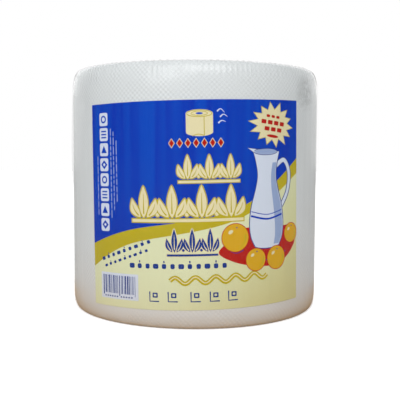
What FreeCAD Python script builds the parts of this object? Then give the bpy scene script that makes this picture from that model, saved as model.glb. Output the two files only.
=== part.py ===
"""A large kitchen paper roll in clear shrink film, with a printed sheet under the film.

Millimetres, +Z up along the core. The origin is on the axis, on the face that the roll stands on.
The printed sheet faces -Y. Its print is drawn flat, with s to the right from the sheet's middle and
t up from its lower edge, in hundredths of the sheet's height, and is then wrapped on the roll.
"""

import FreeCAD
import Part

import math
import os

Vector = FreeCAD.Vector
Flat = FreeCAD.Base.Vector2d

# Wound paper
paper_radius = 104.7
paper_height = 200.0
shoulder_pull = 5.9
shoulder_drop = 23.0
shoulder_bands = 4
foot_pull = 4.1
foot_rise = 13.0
foot_bands = 3
film_seat_depth = 0.4
film_seat_slope = 1.5
turn_pitch = 7.0
turn_groove_width = 1.2
turn_groove_depth = 0.5
turn_groove_margin = 2.5
turn_groove_steps = 24
tail_angle_deg = 152.0
tail_strip_width = 24.0
tail_lift = 0.4
tail_root_thickness = 0.08

# Core
core_bore_radius = 22.5
core_wall = 1.5
core_inset = 0.6
core_glue_gap = 0.1

# Printed sheet, which lies on the straight part of the side
sheet_width = 179.5
sheet_foot_margin = 0.1
sheet_top_margin = 4.0
sheet_thickness = 0.15
sheet_tilt_deg = 1.3
sheet_offset = 0.6
sheet_gap = 0.12
ink_thickness = 0.09
ink_gap = 0.08
ink_levels = 4

# Shrink film
film_thickness = 0.3
film_side_clearance = 0.05
film_end_clearance = 0.1
film_eye_clearance = 0.1
film_eye_radius = 50.0
film_eye_scallop = 2.5
pucker_reach = 26.0
pucker_count = 32
pucker_height = 2.2
pucker_valley_share = 0.45
lap_width = 8.0
lap_thickness = 0.25
lap_end_margin = 4.0

# Heights between which the side is straight
wall_foot = film_seat_depth + foot_rise
wall_top = paper_height - film_seat_depth - shoulder_drop

# The sheet fills the straight part of the side, less its margins and the rise of its tilted edge
sheet_tilt = math.radians(sheet_tilt_deg)
sheet_rise = sheet_width * math.sin(sheet_tilt)
sheet_reach = wall_top - sheet_top_margin - wall_foot - sheet_foot_margin - sheet_rise
sheet_height = sheet_reach / math.cos(sheet_tilt)
sheet_centre_z = wall_foot + sheet_foot_margin + (sheet_rise + sheet_reach) / 2

# One unit of the drawing, and the drawing's top and its side edges in that unit
unit = sheet_height / 100
TOP = 100.0
EDGE = sheet_width / 2 / unit

# Upper and lower edge of the gold band on the drawing
BLUE_EDGE = [(-EDGE, 30.6), (-32.3, 38.7), (19.4, 47.7), (EDGE, 71.3)]
GOLD_EDGE = [(-EDGE, 19.0), (-32.3, 31.9), (19.4, 42.6), (EDGE, 63.9)]

# Places and sizes of the print's motifs on the drawing
TILES = {"from_left": 9.1, "from_top": 7.6, "pitch": 7.42, "width": 5.6, "height": 6.1}
TILE_COUNT = 8
BAR_PANEL = {"from_left": 17.1, "t": 10.3, "width": 23.2, "height": 12.9}
BAR_WIDTHS = [0.6, 1.2, 0.6, 1.7, 0.8, 0.6, 1.2, 0.8, 1.7, 0.6, 1.2]
BAR_MARGIN = 1.6
BURST = {"from_right": 17.1, "from_top": 12.0, "reach": 13.4, "waist": 9.4}
BURST_FLATNESS = 0.76
BURST_COUNT = 14
ROLL_SIGN = {"s": 2.6, "from_top": 10.8, "width": 12.9, "height": 12.3, "rim": 1.7}
DIAMONDS = {"s": 0.9, "from_top": 20.2, "pitch": 3.9, "width": 2.3, "height": 3.6}
DIAMOND_COUNT = 7
SPRIGS = {
    "upper": {"s": -3.4, "t": 68.6, "pitch": 10.3, "width": 9.0, "height": 11.6, "count": 3},
    "lower": {"s": -25.4, "t": 52.2, "pitch": 14.2, "width": 12.4, "height": 15.5, "count": 4},
    "navy": {"s": EDGE - 68.3, "t": 33.6, "pitch": 8.6, "width": 7.4, "height": 11.5, "count": 3},
}
SPRIG_LINE_GAP = 1.3
SPRIG_LINE_SHARE = 0.09
LEAF_SHAPE = [(0.2, 0.75), (0.45, 1.0), (0.75, 0.62)]
DASHES = [
    {"start": (-50.3, 23.5), "end": (-23.2, 32.9), "width": 2.8, "height": 1.7, "count": 7},
    {"start": (-32.3, 21.2), "end": (13.5, 21.2), "width": 3.2, "height": 2.3, "count": 10},
]
ICONS = {"centres": (-21.0, -11.8, -0.8, 8.4, 17.4), "t": 6.5, "width": 4.8, "stroke": 0.7}
RIBBON = {"start": (-12.9, 14.2), "end": (36.1, 15.2), "stroke": 1.9, "swing": 1.4}
RIBBON_WAVE_COUNT = 5
PITCHER = {"from_right": 21.1, "t": 29.7, "profile": [(7.4, 0), (10, 10.9), (5.5, 32.2), (7.4, 45.1)]}
HANDLE = {"ahead": 5.1, "above": 28.4, "width": 9.0, "height": 11.0, "stroke": 2.2}
HANDLE_TURN_DEG = (100.0, -80.0)
CLOTH = {"left": -25.8, "right": 20.0, "below": 3.2, "half_width": 7.1, "sag": 1.4}
FRUITS = [((-17.6, 4.5), 6.7), ((16.1, 4.5), 4.8), ((-6.8, -6.8), 5.4), ((5.5, -6.8), 5.7)]
FRUIT_SIDES = 16

film_inner_radius = (
    paper_radius + sheet_gap + sheet_thickness + ink_levels * (ink_gap + ink_thickness)
    + film_side_clearance
)
core_outer_radius = core_bore_radius + core_wall
paper_bore_radius = core_outer_radius + core_glue_gap
seat_radius = film_eye_radius - film_eye_scallop - film_eye_clearance
bare_radius = seat_radius - film_seat_slope


def at_xz(x, z):
    return Vector(x, 0, z)


def core_tube():
    """The cardboard tube that the web is wound on, a little short of the web at both ends."""
    length = paper_height - 2 * core_inset
    base = Vector(0, 0, core_inset)
    outside = Part.makeCylinder(core_outer_radius, length, base)
    return outside.cut(Part.makeCylinder(core_bore_radius, length, base))


def side_profile(radius, foot_level, top_level):
    """Points of the side from foot to top, with quarter-ellipse ends turned as conical bands."""
    points = []
    for band in range(foot_bands + 1):
        angle = math.pi / 2 * band / foot_bands
        x = radius - foot_pull * (1 - math.sin(angle))
        points.append(at_xz(x, foot_level + foot_rise * (1 - math.cos(angle))))
    for band in range(shoulder_bands + 1):
        angle = math.pi / 2 * band / shoulder_bands
        x = radius - shoulder_pull * (1 - math.cos(angle))
        points.append(at_xz(x, top_level - shoulder_drop * (1 - math.sin(angle))))
    return points


def turned(points):
    """A solid turned about Z from a closed outline in the XZ plane."""
    outline = Part.makePolygon(points + points[:1])
    return Part.Face(outline).revolve(Vector(), Vector(0, 0, 1), 360)


def turn_groove(level, outward):
    """The V groove that follows the web's turns on one bare end of the roll."""
    first = paper_bore_radius + turn_groove_margin
    last = bare_radius - turn_groove_margin
    steps = math.ceil((last - first) / turn_pitch * turn_groove_steps)
    half = turn_groove_width
    sections = []
    for step in range(steps + 1):
        angle = 2 * math.pi * step / turn_groove_steps
        radius = first + turn_pitch * step / turn_groove_steps
        across = Vector(math.cos(angle), math.sin(angle), 0)
        height = Vector(0, 0, outward * turn_groove_depth)
        middle = across * radius + Vector(0, 0, level)
        corners = [middle - across * half + height, middle + across * half + height, middle - height]
        sections.append(Part.makePolygon(corners + corners[:1]))
    return Part.makeLoft(sections, True, True)


def tail_strip():
    """The last strip of the web, whose free edge stands off the roll."""
    root = math.radians(tail_angle_deg)
    free = root + tail_strip_width / paper_radius
    middle = (root + free) / 2
    middle_lift = (tail_root_thickness + tail_lift) / 2

    def at(angle, lift):
        radius = paper_radius + lift
        return Vector(radius * math.sin(angle), -radius * math.cos(angle), 0)

    outline = Part.Wire([
        Part.Arc(at(root, 0), at(middle, 0), at(free, 0)).toShape(),
        Part.LineSegment(at(free, 0), at(free, tail_lift)).toShape(),
        Part.Arc(
            at(free, tail_lift), at(middle, middle_lift), at(root, tail_root_thickness)
        ).toShape(),
        Part.LineSegment(at(root, tail_root_thickness), at(root, 0)).toShape(),
    ])
    strip = Part.Face(outline).extrude(Vector(0, 0, wall_top - wall_foot))
    strip.translate(Vector(0, 0, wall_foot))
    return strip


def paper_roll():
    """The wound web: bare and level round the core, and pressed in a little under the film."""
    foot_seat = film_seat_depth
    top_seat = paper_height - film_seat_depth
    roll = turned([
        at_xz(paper_bore_radius, 0),
        at_xz(bare_radius, 0),
        at_xz(seat_radius, foot_seat),
        *side_profile(paper_radius, foot_seat, top_seat),
        at_xz(seat_radius, top_seat),
        at_xz(bare_radius, paper_height),
        at_xz(paper_bore_radius, paper_height),
    ])
    roll = roll.cut([turn_groove(paper_height, 1), turn_groove(0, -1)])
    return roll.fuse(tail_strip())


def flat_face(points):
    return Part.Face(Part.makePolygon(points + points[:1]))


def around(radius, angle, level):
    return Vector(radius * math.cos(angle), radius * math.sin(angle), level)


def pucker_corners(level):
    """Corners of the puckered top eye: for each pucker its flat valley and its raised ridge."""
    step = 2 * math.pi / pucker_count
    valley_half = step * pucker_valley_share / 2
    root_radius = film_eye_radius + pucker_reach
    return [
        {
            "left_root": around(root_radius, index * step - valley_half, level),
            "left": around(film_eye_radius, index * step - valley_half, level),
            "right": around(film_eye_radius, index * step + valley_half, level),
            "right_root": around(root_radius, index * step + valley_half, level),
            "ridge_root": around(root_radius, (index + 0.5) * step, level),
            "ridge": around(film_eye_radius, (index + 0.5) * step, level + pucker_height),
        }
        for index in range(pucker_count)
    ]


def top_land(rim_radius, level):
    """One skin of the film's puckered top, and the corners of its eye's edge."""
    corners = pucker_corners(level)
    hole = []
    edge = []
    faces = []
    for index, pucker in enumerate(corners):
        after = corners[(index + 1) % pucker_count]
        left_root, left, right, right_root, ridge_root, ridge = pucker.values()
        hole += [left_root, left, right, right_root, ridge_root]
        edge += [left, right, ridge]
        faces += [
            flat_face([right_root, ridge_root, ridge]),
            flat_face([right_root, ridge, right]),
            flat_face([ridge_root, after["left_root"], ridge]),
            flat_face([after["left_root"], after["left"], ridge]),
        ]
    rim = Part.Wire(Part.makeCircle(rim_radius, Vector(0, 0, level)))
    faces.append(Part.Face([rim, Part.makePolygon(hole + hole[:1])]))
    return faces, edge


def foot_land(rim_radius, level):
    """One skin of the film under the roll, with its scalloped eye pressed flat."""
    edge = []
    for index in range(2 * pucker_count):
        radius = film_eye_radius - (film_eye_scallop if index % 2 else 0)
        edge.append(around(radius, math.pi * index / pucker_count, level))
    rim = Part.Wire(Part.makeCircle(rim_radius, Vector(0, 0, level)))
    return [Part.Face([rim, Part.makePolygon(edge + edge[:1])])], edge


def film_skin(radius, foot_level, top_level):
    """One skin of the film, and the corners of the edges of its two eyes."""
    side = Part.makePolygon(side_profile(radius, foot_level, top_level))
    faces = side.revolve(Vector(), Vector(0, 0, 1), 360).Faces
    top_faces, top_edge = top_land(radius - shoulder_pull, top_level)
    foot_faces, foot_edge = foot_land(radius - foot_pull, foot_level)
    return faces + top_faces + foot_faces, top_edge, foot_edge


def cut_edge(outer, inner):
    """The film's cut edge between the same corners of its two skins."""
    count = len(outer)
    return [
        flat_face([outer[k], outer[(k + 1) % count], inner[(k + 1) % count], inner[k]])
        for k in range(count)
    ]


def film_lap():
    """The inside edge of the lap down the back, where the film is sealed into a sleeve."""
    inner = film_inner_radius - lap_thickness
    outer = film_inner_radius + film_thickness / 2
    height = wall_top - wall_foot - 2 * lap_end_margin
    base = Vector(0, 0, wall_foot + lap_end_margin)
    ring = Part.makeCylinder(outer, height, base).cut(Part.makeCylinder(inner, height, base))
    return ring.common(Part.makeBox(lap_width, outer, height, base - Vector(lap_width / 2, 0, 0)))


def wrap_film():
    """The shrink film: a thin sleeve drawn over both ends, with an open eye at each."""
    inner_foot = film_seat_depth - film_end_clearance
    inner_top = paper_height - film_seat_depth + film_end_clearance
    inner_faces, inner_top_edge, inner_foot_edge = film_skin(
        film_inner_radius, inner_foot, inner_top
    )
    outer_faces, outer_top_edge, outer_foot_edge = film_skin(
        film_inner_radius + film_thickness, inner_foot - film_thickness, inner_top + film_thickness
    )
    faces = inner_faces + outer_faces
    faces += cut_edge(outer_top_edge, inner_top_edge)
    faces += cut_edge(outer_foot_edge, inner_foot_edge)
    return closed_solid(faces).fuse(film_lap())


def closed_solid(faces):
    shell = Part.makeShell(faces)
    shell.sewShape()
    solid = Part.makeSolid(shell)
    if solid.Volume < 0:
        solid.reverse()
    return solid


def on_roll(point):
    """A point of the drawing as an angle round the roll and a height."""
    s = point[0] * unit
    t = point[1] * unit - sheet_height / 2
    along = sheet_offset + s * math.cos(sheet_tilt) - t * math.sin(sheet_tilt)
    up = sheet_centre_z + s * math.sin(sheet_tilt) + t * math.cos(sheet_tilt)
    return Flat(1.5 * math.pi + along / paper_radius, up)


def wrapped_edges(surface, outline):
    """The outline's lines and curves on a cylinder, as edges."""
    edges = []
    for segment in outline:
        poles = [on_roll(point) for point in segment]
        if len(poles) == 2:
            curve = Part.Geom2d.Line2dSegment(*poles)
        else:
            curve = Part.Geom2d.BezierCurve2d()
            curve.setPoles(poles)
        edges.append(curve.toShape(surface))
    return edges


def wrapped(outline, low, high):
    """A thin solid of the outline, wrapped on the roll between two heights above the paper."""
    faces = []
    skins = []
    for height in (low, high):
        surface = Part.Cylinder()
        surface.Radius = paper_radius + height
        edges = wrapped_edges(surface, outline)
        faces.append(Part.Face(surface, Part.Wire(edges)))
        skins.append(edges)
    for inner, outer in zip(*skins):
        faces += Part.makeRuledSurface(inner, outer).Faces
    return closed_solid(faces)


def printed(outlines, level):
    """Ink areas on the sheet. Level 1 lies on the sheet, and each next one on the last."""
    low = sheet_gap + sheet_thickness + level * ink_gap + (level - 1) * ink_thickness
    return [wrapped(outline, low, low + ink_thickness) for outline in outlines]


def polygon(points):
    return [[a, b] for a, b in zip(points, points[1:] + points[:1])]


def smooth(points, along=0):
    """Cubic curves through the points, which follow each other along the given coordinate."""
    runs = []
    for index in range(len(points) - 1):
        a, b = points[index], points[index + 1]
        before = points[max(index - 1, 0)]
        after = points[min(index + 2, len(points) - 1)]
        reach = (b[along] - a[along]) / 3
        handles = []
        for base, low, high, sign in ((a, before, b, 1), (b, a, after, -1)):
            slope = (high[1 - along] - low[1 - along]) / (high[along] - low[along])
            pair = [0, 0]
            pair[along] = base[along] + sign * reach
            pair[1 - along] = base[1 - along] + sign * reach * slope
            handles.append(tuple(pair))
        runs.append([a, *handles, b])
    return runs


def backwards(runs):
    return [segment[::-1] for segment in runs[::-1]]


def leaf(base, tip, half_width, bend):
    """A leaf of two curves from base to tip, bent to one side."""
    along = (tip[0] - base[0], tip[1] - base[1])
    length = math.hypot(*along)
    aside = (-along[1] / length, along[0] / length)

    def at(share, side):
        offset = side * half_width * 4 / 3 + bend
        return (
            base[0] + along[0] * share + aside[0] * offset,
            base[1] + along[1] * share + aside[1] * offset,
        )

    return [[base, at(0.25, 1), at(0.75, 1), tip], [tip, at(0.75, -1), at(0.25, -1), base]]


def stroke(points, widths):
    """A broken line through the points, as wide at each as its width there says."""
    left, right = [], []
    for index, (s, t) in enumerate(points):
        before = points[max(index - 1, 0)]
        after = points[min(index + 1, len(points) - 1)]
        along = (after[0] - before[0], after[1] - before[1])
        half = widths[index] / 2 / math.hypot(*along)
        left.append((s - along[1] * half, t + along[0] * half))
        right.append((s + along[1] * half, t - along[0] * half))
    return polygon(left + right[::-1])


def box(centre, width, height):
    s, t = centre
    w, h = width / 2, height / 2
    return polygon([(s - w, t - h), (s + w, t - h), (s + w, t + h), (s - w, t + h)])


def blue_field():
    """The blue upper field, down to the band's upper edge."""
    corners = [BLUE_EDGE[-1], (EDGE, TOP), (-EDGE, TOP), BLUE_EDGE[0]]
    return smooth(BLUE_EDGE) + [[a, b] for a, b in zip(corners, corners[1:])]


def gold_band():
    """The gold band between the blue field and the bare cream one."""
    right_side = [[GOLD_EDGE[-1], BLUE_EDGE[-1]]]
    left_side = [[BLUE_EDGE[0], GOLD_EDGE[0]]]
    return smooth(GOLD_EDGE) + right_side + backwards(smooth(BLUE_EDGE)) + left_side


def ribbon():
    """A wavy line, with four straight pieces to each wave."""
    (s0, t0), (s1, t1) = RIBBON["start"], RIBBON["end"]
    count = 4 * RIBBON_WAVE_COUNT
    points = []
    for index in range(count + 1):
        share = index / count
        swing = RIBBON["swing"] * math.sin(math.pi / 2 * index)
        points.append((s0 + (s1 - s0) * share, t0 + (t1 - t0) * share + swing))
    return stroke(points, [RIBBON["stroke"]] * len(points))


def tiles():
    s, t = TILES["from_left"] - EDGE, TOP - TILES["from_top"]
    return [
        box((s, t - index * TILES["pitch"]), TILES["width"], TILES["height"])
        for index in range(TILE_COUNT)
    ]


def bar_panel():
    return box((BAR_PANEL["from_left"] - EDGE, BAR_PANEL["t"]), BAR_PANEL["width"], BAR_PANEL["height"])


def bars():
    """Upright bars of mixed widths, spread over the panel with even gaps."""
    room = BAR_PANEL["width"] - 2 * BAR_MARGIN
    gap = (room - sum(BAR_WIDTHS)) / (len(BAR_WIDTHS) - 1)
    height = BAR_PANEL["height"] - 2 * BAR_MARGIN
    left = BAR_PANEL["from_left"] - EDGE - room / 2
    outlines = []
    for width in BAR_WIDTHS:
        outlines.append(box((left + width / 2, BAR_PANEL["t"]), width, height))
        left += width + gap
    return outlines


def burst():
    """The starburst with straight points."""
    s, t = EDGE - BURST["from_right"], TOP - BURST["from_top"]
    corners = []
    for index in range(2 * BURST_COUNT):
        reach = BURST["waist"] if index % 2 else BURST["reach"]
        angle = math.pi * index / BURST_COUNT
        corners.append((
            s + reach * math.cos(angle), t + reach * BURST_FLATNESS * math.sin(angle)
        ))
    return polygon(corners)


def roll_sign():
    """A small roll of paper standing on end."""
    s, t = ROLL_SIGN["s"], TOP - ROLL_SIGN["from_top"]
    w, h, rim = ROLL_SIGN["width"] / 2, ROLL_SIGN["height"] / 2, ROLL_SIGN["rim"]
    top, foot = t + h - rim, t - h + rim
    bulge = rim * 4 / 3
    return [
        [(s + w, foot), (s + w, top)],
        [(s + w, top), (s + w, top + bulge), (s - w, top + bulge), (s - w, top)],
        [(s - w, top), (s - w, foot)],
        [(s - w, foot), (s - w, foot - bulge), (s + w, foot - bulge), (s + w, foot)],
    ]


def small_leaf(base, tip, half_width, bend):
    """A leaf with short straight sides, from base to tip, bent to its left."""
    along = (tip[0] - base[0], tip[1] - base[1])
    length = math.hypot(*along)
    aside = (-along[1] / length, along[0] / length)
    left, right = [], []
    for share, fullness in LEAF_SHAPE:
        for side, edge in ((1, left), (-1, right)):
            offset = side * half_width * fullness + bend * math.sin(math.pi * share)
            edge.append((
                base[0] + along[0] * share + aside[0] * offset,
                base[1] + along[1] * share + aside[1] * offset,
            ))
    return polygon([base, *right, tip, *left[::-1]])


def sprig(s, t, width, height):
    """Three leaves on end: an upright one between two that lean out."""
    upright = small_leaf((s, t - height / 2), (s, t + height / 2), width * 0.19, 0)
    leaning = [
        small_leaf(
            (s + side * width * 0.14, t - height * 0.48), (s + side * width * 0.5, t + height * 0.1),
            width * 0.17, -side * width * 0.1,
        )
        for side in (-1, 1)
    ]
    return [upright, *leaning]


def sprigs(row):
    """A row of sprigs over a thin line."""
    width, height = row["width"], row["height"]
    first = row["s"] - width / 2
    last = row["s"] + (row["count"] - 1) * row["pitch"] + width / 2
    line_t = row["t"] - height / 2 - SPRIG_LINE_GAP
    outlines = [box(((first + last) / 2, line_t), last - first, height * SPRIG_LINE_SHARE)]
    for index in range(row["count"]):
        outlines += sprig(row["s"] + index * row["pitch"], row["t"], width, height)
    return outlines


def diamonds():
    t = TOP - DIAMONDS["from_top"]
    w, h = DIAMONDS["width"] / 2, DIAMONDS["height"] / 2
    outlines = []
    for index in range(DIAMOND_COUNT):
        s = DIAMONDS["s"] + (index - (DIAMOND_COUNT - 1) / 2) * DIAMONDS["pitch"]
        outlines.append(polygon([(s - w, t), (s, t - h), (s + w, t), (s, t + h)]))
    return outlines


def dashes(row):
    """A row of slanted dashes that follows a straight line."""
    (s0, t0), (s1, t1) = row["start"], row["end"]
    w, h = row["width"] / 2, row["height"] / 2
    rise = (t1 - t0) / (s1 - s0) * w
    outlines = []
    for index in range(row["count"]):
        share = index / (row["count"] - 1)
        s, t = s0 + (s1 - s0) * share, t0 + (t1 - t0) * share
        lower = [(s - w, t - h - rise), (s + w - h, t - h + rise)]
        upper = [(s + w, t + h + rise), (s - w + h, t + h - rise)]
        outlines.append(polygon(lower + upper))
    return outlines


def icons():
    """A row of plain signs, each a small square in a corner bracket."""
    half, line = ICONS["width"] / 2, ICONS["stroke"]
    t = ICONS["t"]
    outlines = []
    for s in ICONS["centres"]:
        left, low = s - half, t - half
        outer = [(left, t + half), (left, low), (s + half, low)]
        inner = [(s + half, low + line), (left + line, low + line), (left + line, t + half)]
        outlines.append(polygon(outer + inner))
        outlines.append(box((s + line, t + line), half, half))
    return outlines


def pitcher():
    """The body of a pitcher, even about its middle."""
    middle, foot = EDGE - PITCHER["from_right"], PITCHER["t"]
    right = smooth([(middle + half, foot + t) for half, t in PITCHER["profile"]], along=1)
    left = [[(2 * middle - s, t) for s, t in segment] for segment in right]
    base = [[left[0][0], right[0][0]]]
    rim = [[right[-1][-1], left[-1][-1]]]
    return base + right + rim + backwards(left)


def handle():
    """The pitcher's handle, an open bow behind its body."""
    s, t = EDGE - PITCHER["from_right"] + HANDLE["ahead"], PITCHER["t"] + HANDLE["above"]
    steps = 7
    first, last = HANDLE_TURN_DEG
    points = []
    for step in range(steps + 1):
        angle = math.radians(first + (last - first) * step / steps)
        points.append((
            s + HANDLE["width"] * math.cos(angle), t + HANDLE["height"] * math.sin(angle)
        ))
    return stroke(points, [HANDLE["stroke"]] * len(points))


def cloth():
    """The cloth under the pitcher."""
    s, t = EDGE - PITCHER["from_right"], PITCHER["t"] - CLOTH["below"]
    return leaf((s + CLOTH["left"], t), (s + CLOTH["right"], t), CLOTH["half_width"], -CLOTH["sag"])


def fruits():
    """Round fruits about the pitcher's foot, drawn with short straight sides."""
    middle, foot = EDGE - PITCHER["from_right"], PITCHER["t"]
    turns = [2 * math.pi * side / FRUIT_SIDES for side in range(FRUIT_SIDES)]
    outlines = []
    for (ahead, above), radius in FRUITS:
        s, t = middle + ahead, foot + above
        outlines.append(polygon([
            (s + radius * math.cos(turn), t + radius * math.sin(turn)) for turn in turns
        ]))
    return outlines


def sheet():
    corners = [(-EDGE, 0), (EDGE, 0), (EDGE, TOP), (-EDGE, TOP)]
    return wrapped(polygon(corners), sheet_gap, sheet_gap + sheet_thickness)


def inks():
    """The print, one group of areas for each ink."""
    rows = {name: sprigs(row) for name, row in SPRIGS.items()}
    dash_rows = dashes(DASHES[0]) + dashes(DASHES[1])
    white = printed([bar_panel()], 1) + printed([handle(), *tiles()], 2) + printed([pitcher()], 3)
    cream = [burst(), roll_sign(), *rows["upper"], *rows["lower"]]
    navy = [*rows["navy"], *dash_rows, *icons(), *bars()]
    return {
        "ink_blue": printed([blue_field()], 1),
        "ink_gold": printed([gold_band(), ribbon()], 1),
        "ink_white": white,
        "ink_cream": printed(cream, 2),
        "ink_red": printed([cloth(), *diamonds()], 2),
        "ink_orange": printed(fruits(), 4),
        "ink_navy": printed(navy, 2),
    }


def main():
    os.makedirs("parts", exist_ok=True)
    nodes = {
        "core_tube": core_tube(),
        "paper_roll": paper_roll(),
        "label_sheet": sheet(),
        "wrap_film": wrap_film(),
    }
    for name, areas in inks().items():
        nodes[name] = Part.Compound(areas)
    for name, shape in nodes.items():
        shape.exportStep("parts/" + name + ".step")


main()
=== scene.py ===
"""Dresses the kitchen roll: wound embossed paper on a cardboard core, a printed sheet and shrink film.

Everything is in metres, in the frame of the CAD model. The print is drawn flat, with s to the right
from the sheet's middle and t up from its lower edge, in hundredths of the sheet's height. The last
numbers of a noise are its seed, its detail and its roughness.
"""

import math
import random

import bpy
import numpy as np
from bpy.props import FloatProperty, FloatVectorProperty, IntProperty, PointerProperty
from mathutils import Matrix, Vector, geometry


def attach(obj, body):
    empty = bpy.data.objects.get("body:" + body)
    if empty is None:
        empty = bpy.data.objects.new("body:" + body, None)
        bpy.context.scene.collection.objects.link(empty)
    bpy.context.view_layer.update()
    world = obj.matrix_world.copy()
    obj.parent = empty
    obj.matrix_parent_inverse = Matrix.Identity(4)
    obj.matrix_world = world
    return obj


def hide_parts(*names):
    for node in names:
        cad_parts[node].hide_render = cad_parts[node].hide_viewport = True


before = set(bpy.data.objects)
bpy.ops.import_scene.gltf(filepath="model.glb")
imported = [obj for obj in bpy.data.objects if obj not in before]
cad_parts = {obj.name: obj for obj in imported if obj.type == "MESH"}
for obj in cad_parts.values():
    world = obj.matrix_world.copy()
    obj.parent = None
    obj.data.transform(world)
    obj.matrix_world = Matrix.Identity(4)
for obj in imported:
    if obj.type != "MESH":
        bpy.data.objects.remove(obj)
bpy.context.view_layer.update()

bl_info = {
    "name": "Wrapped Kitchen Roll",
    "version": (1, 0, 0),
    "blender": (4, 5, 0),
    "location": "3D View > Sidebar > Kitchen Roll",
    "description": "Builds a kitchen roll in shrink film from its CAD solids",
    "category": "Add Mesh",
}

MM = 0.001
WHITE = (1.0, 1.0, 1.0, 1.0)

# The web's free edge: where the strip along it starts, round the axis.
TAIL_START = math.radians(62.0)
# The crumpled place at the upper right of the front: its middle and its reach, round the axis and up. The film is
# creased there, and the tissue under it is painted darker as shade of the creases.
CRUMPLE_TURN, CRUMPLE_UP = math.radians(-34.0), 0.180
CRUMPLE_WIDE, CRUMPLE_TALL = 0.17, 0.017
# The lower and upper faces of the sheet and of its inks, over the paper.
SHEET_FACES = (0.05 * MM, 0.15 * MM)
INK_FACES = (0.17 * MM, 0.22 * MM)
# How far the film's ends lie inside the roll's height, and the lap under the film.
FILM_END = 0.15 * MM
LAP_UNDER = 0.25 * MM
# Half the width of the welded line down the lap.
SEAL_HALF = 1.1 * MM
# Roughness of the tissue: bare, and under the film, whose gloss it carries there.
BARE_ROUGH, COVERED_ROUGH = 0.92, 0.26
# The floor's height, its own light to the camera, and how far from the axis it is warm and how fast that ends.
FLOOR_LEVEL, FLOOR_GLOW = -0.2 * MM, 0.7
WARM_REACH, WARM_FADE = 0.20, 0.07
# The part of the surroundings, by direction along Y, where the white backdrop starts, and how fast.
BACKDROP_START, BACKDROP_FADE = 0.5, 0.12
# Columns of faces round the core, the paper and the film, and lengthwise cuts in the printed sheet.
CORE_COLUMNS, PAPER_COLUMNS, FILM_COLUMNS, SHEET_COLUMNS = 144, 300, 640, 60
# How much closer the rows of faces lie to the shoulder than to the foot. 1 is even.
SIDE_CROWDING = 1.8


def number(name, description, default, **more):
    return FloatProperty(name=name, description=description, default=default, **more)


def length(name, description, default):
    return number(name, description, default, unit="LENGTH", precision=5)


def portion(name, description, default):
    return number(name, description, default, subtype="FACTOR", min=0, max=1)


def count(name, description, default):
    return IntProperty(name=name, description=description, default=default)


def colour(name, description, default):
    return FloatVectorProperty(
        name=name, description=description, default=default, subtype="COLOR", size=3, min=0, max=1
    )


class PaperSettings(bpy.types.PropertyGroup):
    """Sizes and colour of the wound paper."""

    radius: length("Radius", "Radius of the wound paper", 0.1054)
    height: length("Height", "Width of the paper web, which is the roll's height", 0.2)
    bore: length("Bore", "Radius of the hole that the core fills", 0.0241)
    shoulder_pull: length("Shoulder pull", "How far the film draws the top edge in", 0.0059)
    shoulder_drop: length("Shoulder drop", "Height over which the top edge is rounded", 0.023)
    foot_pull: length("Foot pull", "How far the film draws the lower edge in", 0.0041)
    foot_rise: length("Foot rise", "Height over which the lower edge is rounded", 0.013)
    seat: length("Film seat", "How deep the film presses into the two ends", 0.0004)
    seat_radius: length("Seat radius", "Radius inside which the ends are bare", 0.0474)
    tail_lift: length("Tail lift", "How far the web's free edge stands off", 0.0004)
    tail_width: length("Tail width", "Width of the strip that stands off", 0.024)
    turn_depth: length("Turn depth", "Unevenness of the turns on the ends", 0.0005)
    emboss_count: count("Emboss count", "Embossed rows round the roll", 176)
    emboss_depth: length("Emboss depth", "Depth of the embossed lattice", 0.00035)
    tint: colour("Paper", "Colour of the tissue", (0.79, 0.825, 0.835))


class CoreSettings(bpy.types.PropertyGroup):
    """Sizes and colour of the cardboard core."""

    bore: length("Bore", "Inside radius of the core", 0.0225)
    wall: length("Wall", "Thickness of the board", 0.0015)
    inset: length("Inset", "How far the core stays inside the paper at each end", 0.0006)
    ply_pitch: length("Ply pitch", "Height that a ply climbs in one turn", 0.078)
    tint: colour("Board", "Colour of the cardboard", (0.42, 0.31, 0.2))


class LabelSettings(bpy.types.PropertyGroup):
    """Sizes of the printed sheet and the colours of its inks."""

    width: length("Width", "Width of the sheet, laid flat", 0.1795)
    height: length("Height", "Height of the sheet", 0.15507)
    middle: length("Middle", "Height of the sheet's middle over the foot", 0.09305)
    offset: length("Offset", "How far the sheet sits to the right", 0.0006)
    tilt: number("Tilt", "Turn of the sheet on the roll", math.radians(1.3), unit="ROTATION")
    sheet: colour("Sheet", "Colour of the bare sheet", (0.80, 0.84, 0.54))
    sheet_low: colour("Sheet, low right", "Deeper tone towards the sheet's lower right", (0.71, 0.69, 0.34))
    blue: colour("Blue", "Blue ink", (0.0, 0.036, 0.47))
    # Painted sheen: lighter streaks down the blue, standing for light on the waves of the sheet and film.
    blue_painted_sheen: colour("Blue, streaks", "Lighter streaks down the blue", (0.0, 0.068, 0.55))
    gold: colour("Gold", "Gold ink", (0.54, 0.44, 0.012))
    white: colour("White", "White ink", (0.72, 0.79, 0.92))
    shade: colour("Shade", "Pale blue tone on white", (0.33, 0.43, 0.68))
    cream: colour("Cream", "Cream ink", (0.84, 0.76, 0.46))
    red: colour("Red", "Red ink", (0.5, 0.009, 0.003))
    orange: colour("Orange", "Orange ink", (0.74, 0.42, 0.01))
    navy: colour("Navy", "Navy ink", (0.012, 0.045, 0.27))


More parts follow.
